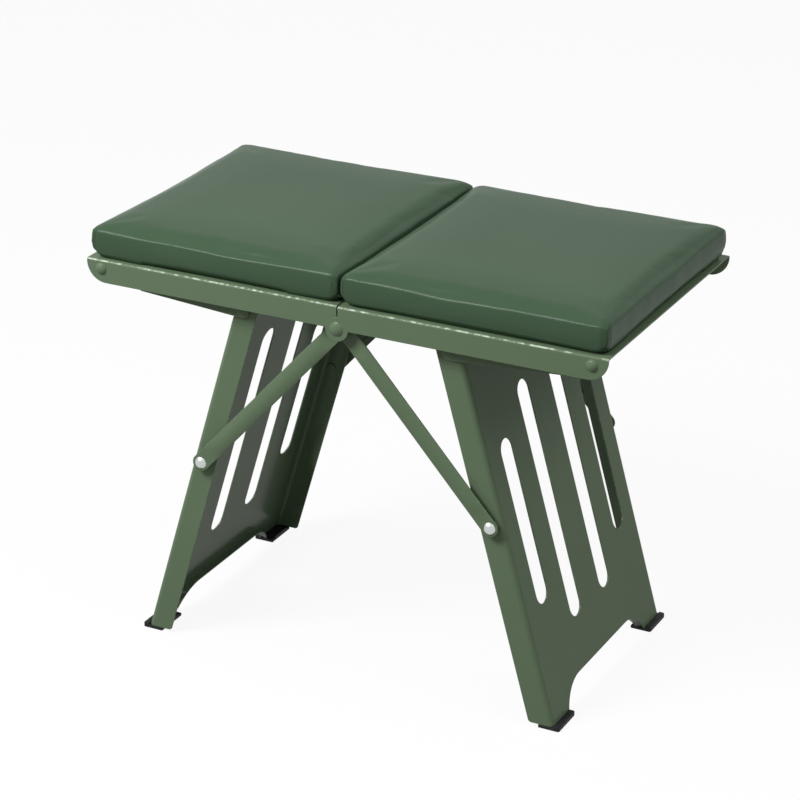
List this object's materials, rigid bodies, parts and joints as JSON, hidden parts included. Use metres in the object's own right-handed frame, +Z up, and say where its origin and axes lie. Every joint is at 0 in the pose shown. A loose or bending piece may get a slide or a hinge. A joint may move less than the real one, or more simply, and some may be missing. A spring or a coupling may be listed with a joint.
{
  "type": "folding stool",
  "caption": "Backless folding stool: padded seat halves on hinged pressed-steel trays, with link arms, braces and slotted steel legs that fold flat under the seat.",
  "frame": {"origin": "on the floor, under the middle of the seat", "axes": "+X along the seat to the right, +Y to the back, +Z up"},
  "size_m": [0.48, 0.2724, 0.3815],
  "materials": {
    "green_paint": "satin",
    "bare_steel": "satin",
    "leatherette": "satin",
    "plywood": "matt",
    "rubber": "matt"
  },
  "bodies": {
    "left_seat": {"left_seat_tray": "green_paint", "left_cushion": "leatherette", "left_cushion_board": "plywood", "left_cushion_screws": "bare_steel", "left_front_arm_rivet": "green_paint", "left_front_arm_spacer": "bare_steel", "left_back_arm_rivet": "green_paint", "left_back_arm_spacer": "bare_steel", "front_hinge_pin": "green_paint", "front_hinge_spacer": "bare_steel", "back_hinge_pin": "green_paint", "back_hinge_spacer": "bare_steel"},
    "left_leg": {"left_leg_panel": "green_paint", "left_front_leg_rivet": "green_paint", "left_front_brace_stud": "green_paint", "left_front_foot": "rubber", "left_back_leg_rivet": "green_paint", "left_back_brace_stud": "green_paint", "left_back_foot": "rubber"},
    "left_arms": {"left_front_link_arm": "green_paint", "left_back_link_arm": "green_paint"},
    "left_braces": {"left_front_brace": "green_paint", "left_front_brace_rivet": "bare_steel", "left_back_brace": "green_paint", "left_back_brace_rivet": "bare_steel"},
    "right_seat": {"right_seat_tray": "green_paint", "right_cushion": "leatherette", "right_cushion_board": "plywood", "right_cushion_screws": "bare_steel", "right_front_arm_rivet": "green_paint", "right_front_arm_spacer": "bare_steel", "right_back_arm_rivet": "green_paint", "right_back_arm_spacer": "bare_steel"},
    "right_leg": {"right_leg_panel": "green_paint", "right_front_leg_rivet": "green_paint", "right_front_brace_stud": "green_paint", "right_front_foot": "rubber", "right_back_leg_rivet": "green_paint", "right_back_brace_stud": "green_paint", "right_back_foot": "rubber"},
    "right_arms": {"right_front_link_arm": "green_paint", "right_back_link_arm": "green_paint"},
    "right_braces": {"right_front_brace": "green_paint", "right_front_brace_rivet": "bare_steel", "right_back_brace": "green_paint", "right_back_brace_rivet": "bare_steel"}
  },
  "joints": [
    {"name": "seat_fold", "type": "hinge", "parent": "left_seat", "child": "right_seat", "pos_m": [0, 0, 0.33], "axis": [0, 1, 0], "range_deg": [0, 50]},
    {"name": "right_arm_swing", "type": "hinge", "parent": "right_seat", "child": "right_arms", "pos_m": [0.226, 0, 0.342], "axis": [0, -1, 0], "range_deg": [0, 168.85]},
    {"name": "right_leg_fold", "type": "hinge", "parent": "right_arms", "child": "right_leg", "pos_m": [0.096, 0, 0.323], "axis": [0, 1, 0], "range_deg": [0, 274.85]},
    {"name": "right_brace_swing", "type": "hinge", "parent": "right_seat", "child": "right_braces", "pos_m": [0, 0, 0.33], "axis": [0, -1, 0], "range_deg": [0, 49.76]},
    {"name": "left_arm_swing", "type": "hinge", "parent": "left_seat", "child": "left_arms", "pos_m": [-0.226, 0, 0.342], "axis": [0, 1, 0], "range_deg": [0, 168.85]},
    {"name": "left_leg_fold", "type": "hinge", "parent": "left_arms", "child": "left_leg", "pos_m": [-0.096, 0, 0.323], "axis": [0, -1, 0], "range_deg": [0, 274.85]},
    {"name": "left_brace_swing", "type": "hinge", "parent": "left_seat", "child": "left_braces", "pos_m": [0, 0, 0.33], "axis": [0, 1, 0], "range_deg": [0, 49.76]}
  ],
  "couplings": [
    {"joint": "right_arm_swing", "follows": "right_leg_fold", "ratio": 0.61433},
    {"joint": "right_brace_swing", "follows": "right_leg_fold", "ratio": 0.18103},
    {"joint": "left_arm_swing", "follows": "left_leg_fold", "ratio": 0.61433},
    {"joint": "left_brace_swing", "follows": "left_leg_fold", "ratio": 0.18103}
  ]
}
